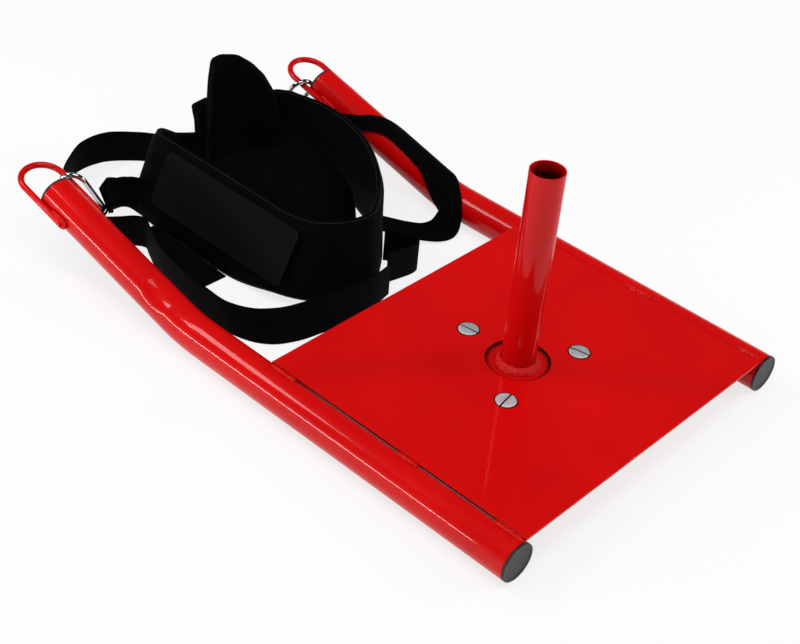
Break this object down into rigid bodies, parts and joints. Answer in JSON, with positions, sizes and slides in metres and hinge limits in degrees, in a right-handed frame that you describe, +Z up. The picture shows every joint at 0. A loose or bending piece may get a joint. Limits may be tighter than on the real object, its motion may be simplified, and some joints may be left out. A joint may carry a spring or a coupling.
{
  "type": "drag sled",
  "caption": "Low steel drag sled: two round runners bent up at the front, a deck plate with a plate post, tow loops, and a padded waist harness clipped on and laid between the runners.",
  "frame": {"origin": "floor point below the middle of the whole part's box", "axes": "+Z up, +Y forwards from the deck to the raised runner ends, +X to the right"},
  "size_m": [0.54, 0.9384, 0.3142],
  "materials": {
    "red_coat": "gloss",
    "cap_plastic": "matte",
    "zinc": "satin",
    "hook_steel": "polished",
    "padding": "matte",
    "ribbed_band": "matte",
    "webbing": "satin"
  },
  "bodies": {
    "sled": {"runner_tube_left": "red_coat", "runner_tube_right": "red_coat", "rear_cap_left": "cap_plastic", "rear_cap_right": "cap_plastic", "front_cap_left": "cap_plastic", "front_cap_right": "cap_plastic", "deck_plate": "red_coat", "post_flange": "red_coat", "deck_screw_front": "zinc", "deck_screw_left": "zinc", "deck_screw_right": "zinc", "deck_washer_front": "zinc", "deck_washer_left": "zinc", "deck_washer_right": "zinc", "deck_nut_front": "zinc", "deck_nut_left": "zinc", "deck_nut_right": "zinc", "deck_weld_left_rear": "red_coat", "deck_weld_left_middle": "red_coat", "deck_weld_left_front": "red_coat", "deck_weld_right_rear": "red_coat", "deck_weld_right_middle": "red_coat", "deck_weld_right_front": "red_coat", "weight_post": "red_coat", "post_weld": "red_coat", "tow_loop_left": "red_coat", "tow_loop_right": "red_coat", "tow_weld_left_inner": "red_coat", "tow_weld_left_outer": "red_coat", "tow_weld_right_inner": "red_coat", "tow_weld_right_outer": "red_coat", "belt_pad": "padding", "belt_ribbed_band": "ribbed_band", "shoulder_pad_folded": "padding", "shoulder_pad_low": "padding", "back_pad": "padding", "lead_strap_left": "webbing", "long_strap": "webbing", "loose_strap": "webbing", "lead_strap_right": "webbing", "strap_tail": "webbing"},
    "left_hook": {"hook_left": "hook_steel", "hook_pin_left": "hook_steel", "sewn_loop_left": "webbing"},
    "right_hook": {"hook_right": "hook_steel", "hook_pin_right": "hook_steel", "sewn_loop_right": "webbing"},
    "left_gate": {"hook_gate_left": "hook_steel"},
    "right_gate": {"hook_gate_right": "hook_steel"}
  },
  "joints": [
    {"name": "left_hook_swing", "type": "hinge", "parent": "sled", "child": "left_hook", "pos_m": [-0.2083, 0.32911, 0.09298], "axis": [0, -0.9694, -0.2453], "range_deg": [0, 25], "deforming": ["lead_strap_left"]},
    {"name": "right_hook_swing", "type": "hinge", "parent": "sled", "child": "right_hook", "pos_m": [0.2083, 0.3296, 0.09311], "axis": [0, 0.9694, 0.2453], "range_deg": [0, 25], "deforming": ["lead_strap_right"]},
    {"name": "left_gate_turn", "type": "hinge", "parent": "left_hook", "child": "left_gate", "pos_m": [-0.18945, 0.32077, 0.04779], "axis": [0.7264, 0.6631, 0.1805], "range_deg": [0, 22], "stiffness_Nm_per_rad": 0.01, "springref_deg": -17.19},
    {"name": "right_gate_turn", "type": "hinge", "parent": "right_hook", "child": "right_gate", "pos_m": [0.21522, 0.34829, 0.04532], "axis": [-0.3071, -0.8704, -0.3848], "range_deg": [0, 22], "stiffness_Nm_per_rad": 0.01, "springref_deg": -17.19}
  ]
}
